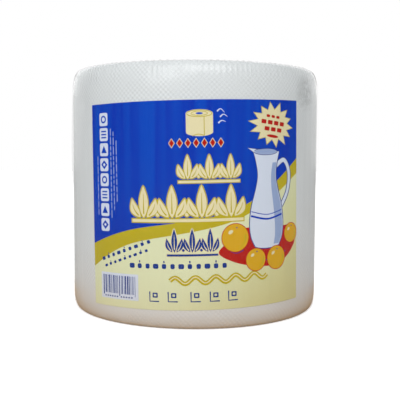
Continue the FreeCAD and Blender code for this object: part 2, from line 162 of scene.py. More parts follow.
class FilmSettings(bpy.types.PropertyGroup):
    """Sizes and finish of the shrink film."""

    clearance: length("Clearance", "Gap between the paper and the film's middle", 0.00045)
    gauge: length("Gauge", "Thickness of the film", 0.0002)
    eye: length("Eye", "Radius of the hole at each end", 0.0495)
    pucker_count: count("Puckers", "Gathers round each eye", 32)
    pucker_height: length("Pucker height", "Height of the gathers at the top eye", 0.0022)
    pucker_reach: length("Pucker reach", "Length of the gathers", 0.026)
    ripple_count: count("Ripples", "Small folds round the shoulder", 118)
    ripple_depth: length("Ripple depth", "Height of the small folds", 0.0006)
    crumple: length("Crumple", "Height of the creases in the crumpled place", 0.0035)
    bulge: length("Bulge", "How far the film stands off at the left", 0.001)
    opacity: portion("Opacity", "How much each skin covers", 0.06)
    gathered: portion("Gathered", "How much more it covers where it is gathered", 0.34)
    lap: length("Lap", "Width of the lap down the back", 0.008)
    tint: colour("Film", "Colour of the film", (0.03, 0.032, 0.035))
    milk: colour("Gathered film", "Colour of the film where it is gathered", (0.76, 0.78, 0.8))


class StageSettings(bpy.types.PropertyGroup):
    """The camera, the lamps and the floor."""

    lens: number("Lens", "Focal length in millimetres", 61.95)
    camera_back: length("Camera back", "Distance from the roll's axis to the camera", 0.6086)
    camera_up: length("Camera up", "Height of the camera", 0.133)
    pitch: number("Pitch", "How far the camera looks down", 0.0704, unit="ROTATION")
    roll: number("Roll", "Turn of the camera about its view", 0.0039, unit="ROTATION")
    shift: number("Shift", "Sideways shift of the lens", 0.0134)
    key_power: number("Key", "Power of the lamp on the left", 11.0, unit="POWER")
    top_power: number("Top", "Power of the lamp above", 9.5, unit="POWER")
    back_power: number("Back", "Power of the lamp behind", 13.0, unit="POWER")
    room: number("Room", "Level of the room that gloss shows away from the backdrop", 0.22)
    fill: number("Fill", "Level of the even light", 0.56)
    floor_tint: colour("Floor", "Colour of the floor", (0.68, 0.68, 0.67))
    foot_tint: colour("Floor, near", "Colour that the floor throws on the roll's foot", (0.52, 0.25, 0.035))


class Field:
    """A value in a node tree, so that a rule can be written with signs."""

    def __init__(self, tree, socket):
        self.tree = tree
        self.socket = socket

    def __add__(self, other):
        return combine("ADD", self, other)

    def __sub__(self, other):
        return combine("SUBTRACT", self, other)

    def __mul__(self, other):
        return combine("MULTIPLY", self, other)

    def __truediv__(self, other):
        return combine("DIVIDE", self, other)

    def __radd__(self, other):
        return combine("ADD", other, self)

    def __rsub__(self, other):
        return combine("SUBTRACT", other, self)


def feed(tree, node, values):
    """Gives a node's inputs, by name or number, fields, sockets or plain values."""
    for key, value in values.items():
        value = value.socket if isinstance(value, Field) else value
        if isinstance(value, bpy.types.NodeSocket):
            tree.links.new(value, node.inputs[key])
        else:
            node.inputs[key].default_value = value


def new_node(tree, kind, values=None, **settings):
    """A node with these settings, and these values at its inputs."""
    node = tree.nodes.new(kind)
    for name, value in settings.items():
        setattr(node, name, value)
    feed(tree, node, values or {})
    return node


def combine(operation, *values):
    """One Math node on fields and numbers."""
    tree = next(value.tree for value in values if isinstance(value, Field))
    return Field(tree, new_node(tree, "ShaderNodeMath", dict(enumerate(values)), operation=operation).outputs[0])


def sine(value):
    """The sine of a field."""
    return combine("SINE", value)


def within(value):
    """The value kept between 0 and 1."""
    return combine("MINIMUM", combine("MAXIMUM", value, 0.0), 1.0)


def eased(value):
    """The value kept between 0 and 1, with soft ends."""
    kept = within(value)
    return kept * kept * (3.0 - kept * 2.0)


def noise(x, y, z, seed=0.0, detail=2.0, roughness=0.5):
    """Noise at a point, in a tree of either kind. Its own scale is 1."""
    point = new_node(x.tree, "ShaderNodeCombineXYZ", {0: x, 1: y, 2: z})
    values = {"Vector": point.outputs[0], "W": seed, "Scale": 1.0, "Detail": detail, "Roughness": roughness}
    return Field(x.tree, new_node(x.tree, "ShaderNodeTexNoise", values, noise_dimensions="4D").outputs[0])


def parts_of(tree, vector):
    """The x, y and z of a vector, as fields."""
    return [Field(tree, part) for part in new_node(tree, "ShaderNodeSeparateXYZ", {0: vector}).outputs]


def round_place(x, y):
    """Angle round the axis, distance from it, and the direction's two parts."""
    away = combine("SQRT", x * x + y * y + 1e-12)
    return combine("ARCTAN2", y, x), away, x / away, y / away


def shaping_tree(name, values, rule):
    """A node tree that moves each point along its normal by the rule, and gives the material."""
    tree = bpy.data.node_groups.new(name, "GeometryNodeTree")
    face = tree.interface
    face.new_socket("Geometry", in_out="INPUT", socket_type="NodeSocketGeometry")
    face.new_socket("Geometry", in_out="OUTPUT", socket_type="NodeSocketGeometry")
    face.new_socket("Material", in_out="INPUT", socket_type="NodeSocketMaterial")
    for label, value in values.items():
        kind = "NodeSocketInt" if isinstance(value, int) else "NodeSocketFloat"
        face.new_socket(label, in_out="INPUT", socket_type=kind).default_value = value
    given = new_node(tree, "NodeGroupInput").outputs
    x, y, z = parts_of(tree, new_node(tree, "GeometryNodeInputPosition").outputs[0])
    amount = rule(x, y, z, {label: Field(tree, given[label]) for label in values})
    normal = new_node(tree, "GeometryNodeInputNormal").outputs[0]
    along = new_node(tree, "ShaderNodeVectorMath", {0: normal, "Scale": amount}, operation="SCALE").outputs[0]
    moved = new_node(tree, "GeometryNodeSetPosition", {"Geometry": given["Geometry"], "Offset": along}).outputs[0]
    real = new_node(tree, "GeometryNodeRealizeInstances", {0: moved}).outputs[0]
    paint = new_node(tree, "GeometryNodeSetMaterial", {"Geometry": real, "Material": given["Material"]})
    new_node(tree, "NodeGroupOutput", {0: paint.outputs[0]})
    return tree


def shaped(obj, name, rule, values, material):
    """Gives the object the mesh that a node tree with this rule makes of its own."""
    modifier = obj.modifiers.new(name, "NODES")
    modifier.node_group = shaping_tree(name, values, rule)
    given = {**values, "Material": material}
    for item in modifier.node_group.interface.items_tree:
        if item.in_out == "INPUT" and item.name in given:
            modifier[item.identifier] = given[item.name]
    depsgraph = bpy.context.evaluated_depsgraph_get()
    made = bpy.data.meshes.new_from_object(obj.evaluated_get(depsgraph), depsgraph=depsgraph)
    obj.modifiers.remove(modifier)
    plain = obj.data
    obj.data = made
    bpy.data.meshes.remove(plain)
    made.name = obj.name
    smooth(made)


def new_object(name, points, faces):
    """An object of these points and faces, in the scene."""
    mesh = bpy.data.meshes.new(name)
    mesh.from_pydata(points, [], faces)
    mesh.update()
    obj = bpy.data.objects.new(name, mesh)
    bpy.context.scene.collection.objects.link(obj)
    return obj


def smooth(mesh, sharp=180):
    """Shades the mesh smooth, but for edges that turn by more degrees than this."""
    mesh.polygons.foreach_set("use_smooth", [True] * len(mesh.polygons))
    if sharp < 180:
        mesh.set_sharp_from_angle(angle=math.radians(sharp))


def turned(profile, angles, closed):
    """Points and faces of a profile of (radius, height) turned about Z, from the top outwards and down."""
    columns = len(angles)
    points = [
        (radius * math.cos(angle), radius * math.sin(angle), height)
        for radius, height in profile
        for angle in angles
    ]
    faces = []
    rows = len(profile) if closed else len(profile) - 1
    for row in range(rows):
        after = (row + 1) % len(profile)
        for column in range(columns):
            beside = (column + 1) % columns
            faces.append((
                row * columns + column, after * columns + column,
                after * columns + beside, row * columns + beside,
            ))
    return points, faces


def even_angles(count):
    """Angles of a whole turn in even steps."""
    return [2 * math.pi * index / count for index in range(count)]


def path(*stops):
    """Even points from stop to stop. A stop is a radius, a height, and the steps from it to the next one."""
    points = []
    for (radius, height, steps), (end_radius, end_height, _) in zip(stops, stops[1:]):
        points += [
            (radius + (end_radius - radius) * step / steps, height + (end_height - height) * step / steps)
            for step in range(steps)
        ]
    return points


def side_profile(paper, radius, top, foot, shoulder_steps, side_steps, foot_steps):
    """The rounded shoulder, the straight side and the rounded foot, from the top down."""
    def bent(end, pull, reach, angle):
        return radius - pull * (1 - math.cos(angle)), end + reach * (1 - math.sin(angle))

    wall_top, wall_foot = top - paper.shoulder_drop, foot + paper.foot_rise
    return [
        bent(top, paper.shoulder_pull, -paper.shoulder_drop, math.pi / 2 * (1 - step / shoulder_steps))
        for step in range(shoulder_steps)
    ] + [
        (radius, wall_top + (wall_foot - wall_top) * (step / side_steps) ** SIDE_CROWDING)
        for step in range(side_steps)
    ] + [
        bent(foot, paper.foot_pull, paper.foot_rise, math.pi / 2 * step / foot_steps)
        for step in range(foot_steps + 1)
    ]


def shader_of(name):
    """A new material, its node tree and its Principled shader."""
    material = bpy.data.materials.new(name)
    material.use_nodes = True
    return material, material.node_tree, material.node_tree.nodes["Principled BSDF"]


def object_place(tree):
    """The x, y and z of the Object coordinates."""
    return parts_of(tree, new_node(tree, "ShaderNodeTexCoord").outputs["Object"])


def bump(height, distance, strength):
    """The normal that a height gives."""
    values = {"Strength": strength, "Distance": distance, "Height": height}
    return new_node(height.tree, "ShaderNodeBump", values).outputs[0]


def scaled_colour(tint, amount):
    """A colour, as a field or a value, times a field."""
    return new_node(amount.tree, "ShaderNodeVectorMath", {0: tint, "Scale": amount}, operation="SCALE").outputs[0]


def mixed_colour(first, second, share):
    """The first colour, and as much of the second as the field says."""
    values = {0: share, 6: (*first, 1), 7: (*second, 1)}
    return new_node(share.tree, "ShaderNodeMix", values, data_type="RGBA").outputs[2]


def shader_group(name, numbers, outputs, rule):
    """A node group, built once. Its rule gets the tree and the inputs as fields, and gives each output."""
    tree = bpy.data.node_groups.get(name)
    if tree:
        return tree
    tree = bpy.data.node_groups.new(name, "ShaderNodeTree")
    kinds = {"Color": "NodeSocketColor"}
    for label, default in numbers.items():
        kind = kinds.get(label, "NodeSocketFloat")
        tree.interface.new_socket(label, in_out="INPUT", socket_type=kind).default_value = default
    for label in outputs:
        tree.interface.new_socket(label, in_out="OUTPUT", socket_type=kinds.get(label, "NodeSocketFloat"))
    given = new_node(tree, "NodeGroupInput").outputs
    new_node(tree, "NodeGroupOutput", rule(tree, {label: Field(tree, given[label]) for label in numbers}))
    return tree


def placed(tree, group, values):
    """The outputs of a node group placed in the tree, as fields."""
    node = new_node(tree, "ShaderNodeGroup", values, node_tree=group)
    return {socket.name: Field(tree, socket) for socket in node.outputs}


def paper_grain():
    """Fibres and faint blotches, which every paper and board here has."""
    def rule(tree, given):
        x, y, z = object_place(tree)
        size, vary = given["Scale"], given["Variation"]
        fibre = noise(x * size, y * size, z * size, 1.0, 4.0, 0.65)
        blotch = noise(x * 34.0, y * 34.0, z * 34.0, 2.0)
        level = (fibre - 0.5) * vary + (blotch - 0.5) * vary * 0.8 + 1.0
        return {"Color": scaled_colour(given["Color"], level), "Height": fibre}

    numbers = {"Color": (0.8, 0.8, 0.8, 1), "Scale": 900.0, "Variation": 0.1}
    return shader_group("Paper grain", numbers, ("Color", "Height"), rule)


def upright_waves():
    """Soft upright waves, as a sheet or film has where it is drawn round the roll."""
    def rule(tree, given):
        x, y, z = object_place(tree)
        _, _, east, north = round_place(x, y)
        wide, tall = given["Count"], given["Climb"]
        broad = noise(east * wide, north * wide, z * tall, 3.0, 1.0)
        fine = noise(east * wide * 4.0, north * wide * 4.0, z * tall * 2.0, 4.0)
        return {"Height": broad + fine * 0.3}

    return shader_group("Upright waves", {"Count": 9.0, "Climb": 9.0}, ("Height",), rule)


def film_folds():
    """Short upright folds in loose groups on the roll's shoulder, and gathers round the eye."""
    def rule(tree, given):
        x, y, z = object_place(tree)
        angle, away, east, north = round_place(x, y)
        phase = noise(east * 6.0, north * 6.0, z * 9.0, 8.0) * 11.0
        fold = sine(angle * 160.0 + phase) * 0.5 + 0.5
        group = within(noise(east * 4.1, north * 4.1, 2.0, 9.0) * 5.0 - 1.9)
        reach = noise(east * 24.0, north * 24.0, 1.0, 10.0) * 0.014
        high = eased((z - given["Top"] + 0.007 + reach) / 0.005)
        outer = eased((away - given["Rim"] + 0.012) / 0.010)
        rays = noise(east * 30.0, north * 30.0, away * 18.0, 11.0, 3.0, 0.6)
        near = eased((given["Gather end"] - away) / 0.030)
        radial = sine(angle * 64.0 + rays * 7.0) * 0.5 + rays * 1.4
        return {"Folds": fold * fold * group * high * outer, "Gathers": radial * near, "Rays": rays}

    numbers = {"Top": 0.2, "Rim": 0.099, "Gather end": 0.08}
    return shader_group("Film folds", numbers, ("Folds", "Gathers", "Rays"), rule)


def tail_angle(paper):
    """The angle at which the web's free edge lies, at the back."""
    return TAIL_START + paper.tail_width / paper.radius


def crumple_at(angle, z):
    """How near a point is to the crumpled place."""
    across, along = (angle - CRUMPLE_TURN) / CRUMPLE_WIDE, (z - CRUMPLE_UP) / CRUMPLE_TALL
    return eased(1.0 - (across * across + along * along))


def tissue_material(paper):
    """White tissue, embossed on the side, with the turns' edges on the ends and gloss under the film. Its colour
    carries painted shade: in the emboss, between the turns, in the crumpled place and along the web's free edge.
    """
    material, tree, shader = shader_of("embossed_tissue")
    x, y, z = object_place(tree)
    angle, away, east, north = round_place(x, y)
    rim = paper.radius - paper.shoulder_pull
    side = eased((away - (rim - 1.5 * MM)) / (3 * MM))
    ends = 1.0 - side
    covered = eased((away - paper.seat_radius) / (2 * MM))
    rows = float(paper.emboss_count)
    lattice = sine(angle * rows) * sine(z * (rows / paper.radius)) * 0.5 + 0.5
    pressed = eased(noise(east * 9.0, north * 9.0, z * 60.0, 13.0) * 3.6 - 1.3) * 0.75 + 0.25
    faded = eased((z - 0.006) / 0.018) * 0.6 + 0.4
    turns = noise(away * 1500.0 - angle * 0.6, east * 0.8, north * 0.8, 5.0, 3.0, 0.7)
    broad = noise(away * 260.0, east * 0.5, north * 0.5, 6.0)
    creases = noise(east * 21.0, north * 21.0, z * 240.0, 14.0, 3.0, 0.6)
    crumple = crumple_at(angle, z) * eased(creases * 4.0 - 1.4)
    tail = combine("ABSOLUTE", angle - tail_angle(paper)) * away
    # Painted shade: the embossed lattice's dimples are darker, less so near the foot.
    painted_shade = (lattice - 0.5) * side * pressed * faded * 0.19 + 0.96
    # Painted shade in the gaps between the turns on the ends, darker in broad uneven rings, and in the creases of the
    # crumpled place.
    painted_shade = painted_shade - ends * (turns * 0.16 + broad * 0.1) - crumple * side * 0.2
    # Painted shadow: a dark line along the web's free edge, where it stands off.
    painted_shade = painted_shade - (1.0 - eased(tail / (0.6 * MM))) * side * 0.22
    tone = scaled_colour(paper.tint, painted_shade)
    grain = placed(tree, paper_grain(), {"Scale": 1300.0, "Variation": 0.05, "Color": tone})
    folds = placed(tree, film_folds(), {
        "Top": paper.height, "Rim": rim, "Gather end": paper.seat_radius + 0.032,
    })
    height = lattice * side * pressed * 0.5 + turns * ends * 0.5 + grain["Height"] * 0.12 + crumple * 2.0
    height = height + folds["Folds"] * 0.9 + folds["Gathers"] * covered * ends * 1.6
    height = height - (1.0 - eased(tail / (0.45 * MM))) * side
    feed(tree, shader, {
        "Base Color": grain["Color"], "Specular IOR Level": 0.38,
        "Roughness": BARE_ROUGH - covered * (BARE_ROUGH - COVERED_ROUGH),
        "Normal": bump(height, paper.emboss_depth, 0.8),
    })
    return material


def board_material(core):
    """Grey-brown board with the spiral seams of its plies and its layers on the cut ends."""
    material, tree, shader = shader_of("wound_board")
    x, y, z = object_place(tree)
    angle, away, _, _ = round_place(x, y)
    turn = combine("FRACT", angle / (2 * math.pi) + z / core.ply_pitch + 2.0)
    seam = 1.0 - eased(combine("ABSOLUTE", turn - 0.5) * 90.0)
    ply = sine(away * (2 * math.pi / (0.5 * MM)))
    tone = scaled_colour(core.tint, 1.0 - seam * 0.35 + ply * 0.04)
    grain = placed(tree, paper_grain(), {"Scale": 700.0, "Variation": 0.35, "Color": tone})
    feed(tree, shader, {
        "Base Color": grain["Color"], "Roughness": 0.85, "Specular IOR Level": 0.25,
        "Normal": bump(grain["Height"] * 0.4 + ply * 0.15 - seam, 0.3 * MM, 0.7),
    })
    return material


def print_material(name, tint, low=None, painted_sheen=None):
    """Ink or bare sheet, with fibres and soft upright waves.

    A second tone deepens to the lower right, and a third, lighter one runs down its upper part in streaks: a painted
    sheen of the waves in the sheet and film.
    """
    material, tree, shader = shader_of(name)
    x, y, z = object_place(tree)
    _, _, east, north = round_place(x, y)
    tone = (*tint, 1)
    if low:
        tone = mixed_colour(tint, low, eased(x * 9.0 - z * 7.0 + 0.45))
    if painted_sheen:
        # Painted sheen: lighter streaks, only in the upper part.
        share = eased(noise(east * 17.0, north * 17.0, z * 4.0, 12.0) * 2.6 - 0.8)
        tone = mixed_colour(tint, painted_sheen, share * eased((z - 0.055) / 0.06))
    grain = placed(tree, paper_grain(), {"Scale": 1100.0, "Variation": 0.07, "Color": tone})
    waves = placed(tree, upright_waves(), {"Count": 8.0, "Climb": 7.0})
    feed(tree, shader, {
        "Base Color": grain["Color"], "Roughness": 0.24, "Specular IOR Level": 0.12 if painted_sheen else 0.22,
        "Normal": bump(waves["Height"] + grain["Height"] * 0.02, 1.4 * MM, 0.6),
    })
    return material


def film_material(film, paper):
    """Clear glossy film with soft upright waves, milky where it gathers round the eyes and laps."""
    material, tree, shader = shader_of("clear_film")
    x, y, z = object_place(tree)
    _, away, _, _ = round_place(x, y)
    rim = paper.radius - paper.shoulder_pull
    ends = eased((rim - away) / (14 * MM))
    gather = eased((film.eye + film.pucker_reach - away) / film.pucker_reach)
    bead = eased((film.eye + 1.1 * MM - away) / (0.7 * MM))
    folds = placed(tree, film_folds(), {"Top": paper.height, "Rim": rim, "Gather end": film.eye + 0.030})
    aside = combine("ABSOLUTE", x)
    lap = 1.0 - eased((aside - film.lap / 2) / (0.25 * MM))
    seal = (1.0 - eased((aside - SEAL_HALF) / (0.3 * MM))) * (sine(z * 3100.0) * 0.3 + 0.7)
    lapped = (lap * 0.12 + seal * 0.2) * combine("GREATER_THAN", y, 0.0) * (1.0 - ends)
    milky = within(ends * 0.4 + gather * folds["Rays"] * 1.3 + bead * 0.5)
    crinkle = noise(x * 210.0, y * 210.0, z * 45.0, 7.0, 2.0, 0.6)
    waves = placed(tree, upright_waves(), {"Count": 15.0, "Climb": 10.0})
    height = waves["Height"] + crinkle * 0.16 + folds["Folds"] * 0.5 + folds["Gathers"] * 0.3 + lapped * 0.1
    feed(tree, shader, {
        "Base Color": mixed_colour(film.tint, film.milk, within(milky + lapped * 9.0)),
        "Alpha": milky * film.gathered + lapped * 0.35 + film.opacity,
        "Roughness": 0.13, "IOR": 1.5, "Normal": bump(height, 1.6 * MM, 0.8),
    })
    return material


def paper_rule(x, y, z, given):
    """Uneven turns on the two ends, and a soft give in the side."""
    angle, away, east, north = round_place(x, y)
    turn = sine(away / given["Turn pitch"] * (2 * math.pi) - angle) * 0.5 + 0.5
    loose = noise(away * 310.0, east * 1.2, north * 1.2, given["Seed"])
    inside = eased((away - given["Bore"]) / 0.003) * eased((given["Rim"] - away) / 0.004)
    ends = (turn * 0.45 + loose * 0.75) * inside * given["Turn depth"]
    give = noise(east * 5.0, north * 5.0, z * 22.0, given["Seed"])
    side = eased((away - given["Rim"]) / 0.004) * give * given["Side give"]
    return (ends + side) * -1.0


def film_rule(x, y, z, given):
    """Gathers round the top eye, folds round the shoulder and the foot, slow waves and a crumple."""
    angle, away, east, north = round_place(x, y)
    seed = given["Seed"]
    warp = noise(east * 1.6, north * 1.6, 0.0, seed) * 5.0
    wave = sine(angle * given["Puckers"] * 0.5 + warp)
    near = eased((given["Eye"] + given["Pucker reach"] - away) / given["Pucker reach"])
    size = noise(east * 5.0, north * 5.0, 3.0, seed) + 0.45
    top = combine("GREATER_THAN", z, given["Height"] * 0.5)
    pucker = wave * wave * near * size * top * given["Pucker height"]
    fold = sine(angle * given["Ripples"] + noise(east * 7.0, north * 7.0, z * 14.0, seed) * 9.0) * 0.5 + 0.5
    group = within(noise(east * 4.5, north * 4.5, 7.0, seed) * 3.4 - 1.1)
    inward = eased((away - given["Rim"] + 0.024) / 0.022)
    shoulder = eased((z - given["Height"] + given["Shoulder"]) / given["Shoulder"] * 1.15) * inward
    foot = eased((given["Foot"] - z) / given["Foot"] * 1.2) * eased((away - given["Rim"] - 0.0022) / 0.002)
    small = fold * fold * group * (shoulder + foot * 0.9) * given["Ripple depth"]
    slow = noise(east * 6.0, north * 6.0, z * 18.0, seed) * combine("GREATER_THAN", z, 0.0005) * 0.00025
    ridges = noise(east * 26.0, north * 26.0, z * 70.0, seed, 3.0, 0.6)
    crumple = combine("ABSOLUTE", ridges - 0.5) * crumple_at(angle, z) * given["Crumple"]
    left = eased(1.0 - combine("ABSOLUTE", (z - 0.135) / 0.055)) * eased(east * -3.0 - 1.6)
    return pucker + small + slow + crumple + left * given["Bulge"]


def ride_as(obj, slot, *nodes):
    """The object stands for these CAD nodes, which are hidden, and hangs from the root. The slot is not used."""
    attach(obj, "root")
    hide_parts(*nodes)


class BuildCore(bpy.types.Operator):
    """Builds the spiral-wound cardboard core"""

    bl_idname = "kitchen_roll.build_core"
    bl_label = "Build Core"

    def execute(self, context):
        core, paper = context.scene.roll_core, context.scene.roll_paper
        inner, outer = core.bore, core.bore + core.wall
        top, foot, ease = paper.height - core.inset, core.inset, 0.2 * MM
        profile = path(
            (inner, top - ease, 1), (inner + ease, top, 1), (inner + 2 * ease, top, 4), (outer - ease, top, 1),
            (outer, top - ease, 16), (outer, foot + ease, 1), (outer - ease, foot, 1), (outer - 2 * ease, foot, 4),
            (inner + ease, foot, 1), (inner, foot + ease, 40), (inner, top - ease, 0),
        )
        obj = new_object("cardboard_core", *turned(profile, even_angles(CORE_COLUMNS), True))
        obj.data.materials.append(board_material(core))
        smooth(obj.data, 50)
        ride_as(obj, "core_cardboard", "core_tube")
        return {"FINISHED"}


class BuildPaper(bpy.types.Operator):
    """Builds the wound paper with its uneven ends and its free edge"""

    bl_idname = "kitchen_roll.build_paper"
    bl_label = "Build Paper"

    def profile(self, paper):
        top, seat_top, mouth, ease = paper.height, paper.height - paper.seat, paper.bore + 0.3 * MM, 0.5 * MM
        rim_top, rim_foot = paper.radius - paper.shoulder_pull, paper.radius - paper.foot_pull
        bare = paper.seat_radius - 1.5 * MM
        return path(
            (paper.bore, top - ease, 1), (mouth, top, 34), (bare, top, 1),
            (paper.seat_radius, seat_top, 60), (rim_top, seat_top, 0),
        ) + side_profile(paper, paper.radius, seat_top, paper.seat, 16, 60, 12) + path(
            (rim_foot, paper.seat, 60), (paper.seat_radius, paper.seat, 1), (bare, 0.0, 34),
            (mouth, 0.0, 1), (paper.bore, ease, 6), (paper.bore, top - ease, 0),
        )[1:]

    def execute(self, context):
        paper = context.scene.roll_paper
        free = tail_angle(paper)
        step = 0.25 * MM / paper.radius
        angles = sorted(even_angles(PAPER_COLUMNS) + [free - step, free + step])
        points, faces = turned(self.profile(paper), angles, True)
        lifted = []
        for x, y, z in points:
            away, angle = math.hypot(x, y), math.atan2(y, x)
            behind = (free - angle) * paper.radius
            edge = min(max((away - paper.radius + 1.2 * MM) / MM, 0), 1)
            if 0 < behind < paper.tail_width:
                away += paper.tail_lift * (1 - behind / paper.tail_width) * edge
            lifted.append((away * math.cos(angle), away * math.sin(angle), z))
        obj = new_object("wound_paper", lifted, faces)
        shaped(obj, "Wound paper", paper_rule, {
            "Turn pitch": 3.4 * MM, "Turn depth": paper.turn_depth, "Side give": 0.2 * MM,
            "Bore": paper.bore, "Rim": paper.radius - paper.shoulder_pull, "Seed": 4,
        }, tissue_material(paper))
        smooth(obj.data, 60)
        ride_as(obj, "towel_paper", "paper_roll")
        return {"FINISHED"}


def tilted(centre, x, y, tilt):
    """The point x to the right of a centre and y above it, turned about it by tilt degrees."""
    turn = math.radians(tilt)
    return (
        centre[0] + x * math.cos(turn) - y * math.sin(turn),
        centre[1] + x * math.sin(turn) + y * math.cos(turn),
    )


def ring(centre, radii, steps=28, first=0.0, last=360.0, tilt=0.0):
    """Points on an ellipse, from one angle to another in degrees."""
    count = steps if abs(last - first) >= 360 else steps + 1
    angles = [math.radians(first + (last - first) * step / steps) for step in range(count)]
    return [tilted(centre, radii[0] * math.cos(angle), radii[1] * math.sin(angle), tilt) for angle in angles]


def disc(centre, radius, steps):
    """Points on a circle."""
    return ring(centre, (radius, radius), steps)


def block(centre, width, height, corner=0.0, tilt=0.0):
    """An upright or tilted rectangle, with rounded corners where asked."""
    w, h = width / 2 - corner, height / 2 - corner
    points = []
    for x, y, start in ((w, -h, -90), (w, h, 0), (-w, h, 90), (-w, -h, 180)):
        points += ring((x, y), (corner, corner), 4, start, start + 90) if corner else [(x, y)]
    return [tilted(centre, x, y, tilt) for x, y in points]


def near(s, t, *points):
    """Points that are given from a place on the sheet."""
    return [(s + x, t + y) for x, y in points]


def curve(points, steps=10, closed=False):
    """A smooth line through the points."""
    count = len(points)
    made = []
    for index in range(count if closed else count - 1):
        near = [
            points[(index + offset) % count] if closed else points[min(max(index + offset, 0), count - 1)]
            for offset in (-1, 0, 1, 2)
        ]
        for step in range(steps):
            share = step / steps
            weights = (
                (-share + 2 * share**2 - share**3) / 2, (2 - 5 * share**2 + 3 * share**3) / 2,
                (share + 4 * share**2 - 3 * share**3) / 2, (share**3 - share**2) / 2,
            )
            made.append(tuple(sum(w * p[axis] for w, p in zip(weights, near)) for axis in (0, 1)))
    if not closed:
        made.append(tuple(points[-1]))
    return made


def stroke(points, width, last_width=None):
    """A drawn line as a row of small four-sided areas, which may taper."""
    last_width = width if last_width is None else last_width
    sides = []
    for index, (s, t) in enumerate(points):
        before, after = points[max(index - 1, 0)], points[min(index + 1, len(points) - 1)]
        along = (after[0] - before[0], after[1] - before[1])
        share = index / (len(points) - 1)
        half = (width + (last_width - width) * share) / 2 / math.hypot(*along)
        sides.append(((s - along[1] * half, t + along[0] * half), (s + along[1] * half, t - along[0] * half)))
    return [[a[0], a[1], b[1], b[0]] for a, b in zip(sides, sides[1:])]


class Drawing:
    """The print as areas in the order in which they cover each other."""

    def __init__(self, edge):
        self.edge = edge
        self.areas = [("sheet", [(-edge, 0), (edge, 0), (edge, 100), (-edge, 100)])]

    def add(self, ink, *outlines):
        for outline in outlines:
            self.areas.append((ink, self.wound([self.kept(point) for point in outline])))

    def line(self, ink, points, width, last_width=None):
        """Adds a drawn line, which may taper."""
        self.add(ink, *stroke(points, width, last_width))

    def wound(self, outline):
        """The outline with its points anticlockwise."""
        turn = sum(a[0] * b[1] - b[0] * a[1] for a, b in zip(outline, outline[1:] + outline[:1]))
        return outline if turn > 0 else outline[::-1]

    def kept(self, point):
        """The point, moved onto the sheet where it lies outside."""
        return (min(max(point[0], -self.edge), self.edge), min(max(point[1], 0.0), 100.0))


def draw_fields(drawing):
    """The blue field over a curved gold band."""
    edge = drawing.edge
    upper = curve([(-edge, 30.6), (-32.3, 38.7), (19.4, 47.7), (edge, 71.3)], 14)
    lower = curve([(-edge, 19.0), (-32.3, 31.9), (19.4, 42.6), (edge, 63.9)], 14)
    drawing.add("blue", upper + [(edge, 100), (-edge, 100)])
    drawing.add("gold", upper + lower[::-1])


def draw_tiles(drawing):
    """A column of small white tiles with plain marks, and fine upright lines beside it."""
    s = 9.1 - drawing.edge
    for index in range(8):
        t = 92.4 - index * 7.42
        drawing.add("white", block((s, t), 5.9, 6.4, 1.0))
        kind = index % 4
        if kind == 0:
            drawing.add("blue", disc((s, t), 1.9, 20))
            drawing.add("white", disc((s, t), 1.1, 16))
        elif kind == 1:
            drawing.add("blue", *[block((s, t + rise), 3.6, 0.7) for rise in (-1.5, 0, 1.5)])
        elif kind == 2:
            drawing.add("blue", near(s, t, (-2, -1.7), (2, -1.7), (0, 2)))
        else:
            drawing.add("blue", block((s, t), 3.2, 3.2, 0, 45))
            drawing.add("white", block((s, t), 1.3, 1.3, 0, 45))
    pick = random.Random(5)
    for column, low, high in ((-53.6, 45.0, 73.0), (-44.0, 44.0, 86.0), (-42.2, 48.0, 86.0), (-40.4, 52.0, 80.0)):
        t = low
        while t < high:
            reach = pick.uniform(1.4, 4.0)
            drawing.add("shade", block((column, min(t + reach / 2, high)), 0.5, reach))
            t += reach + 0.7


def draw_bars(drawing):
    """A white panel of upright bars."""
    s, low, high = 17.1 - drawing.edge, 6.6, 15.6
    drawing.add("white", block((s, 10.3), 23.2, 12.9))
    pick = random.Random(11)
    left = s - 10.2
    while left < s + 10.0:
        width = pick.choice((0.28, 0.28, 0.5, 0.75))
        foot = low - (abs(left - s) > 9.6 or abs(left - s) < 0.5)
        drawing.add("navy", [(left, foot), (left + width, foot), (left + width, high), (left, high)])
        left += width + pick.choice((0.3, 0.3, 0.5, 0.7))
    dots = [s - 8.6 + index * 1.56 + (index > 5) * 0.9 for index in range(11)]
    drawing.add("navy", *[block((dot, 5.1), 0.8, 0.7) for dot in dots])


def draw_burst(drawing):
    """The starburst, edged in gold, with slanting red bars."""
    s, t, points = drawing.edge - 17.1, 88.0, 28
    for ink, grow in (("gold", 0.7), ("cream", 0.0)):
        corners = []
        for index in range(points):
            reach = (9.2 + grow * 0.6) if index % 2 else (13.4 + grow + 0.8 * math.sin(index * 2.4))
            angle = 2 * math.pi * index / points
            x, y = reach * math.cos(angle), reach * 0.78 * math.sin(angle)
            corners.append((s + x * 0.985 + y * 0.12, t + y * 0.985 - x * 0.12))
        drawing.add(ink, corners)
    for rise, wide, high, pieces in ((3.9, 9.0, 1.3, 3), (0.9, 15.0, 2.0, 4), (-2.3, 11.5, 2.0, 3)):
        for index in range(pieces):
            along = (index - (pieces - 1) / 2) * wide / pieces
            drawing.add("red", block((s + along, t + rise - along * 0.13), wide / pieces - 0.9, high, 0.4, -8))
    drawing.add("red", ring((s - 0.4, t - 5.6), (3.6, 0.75), 20, tilt=-8))


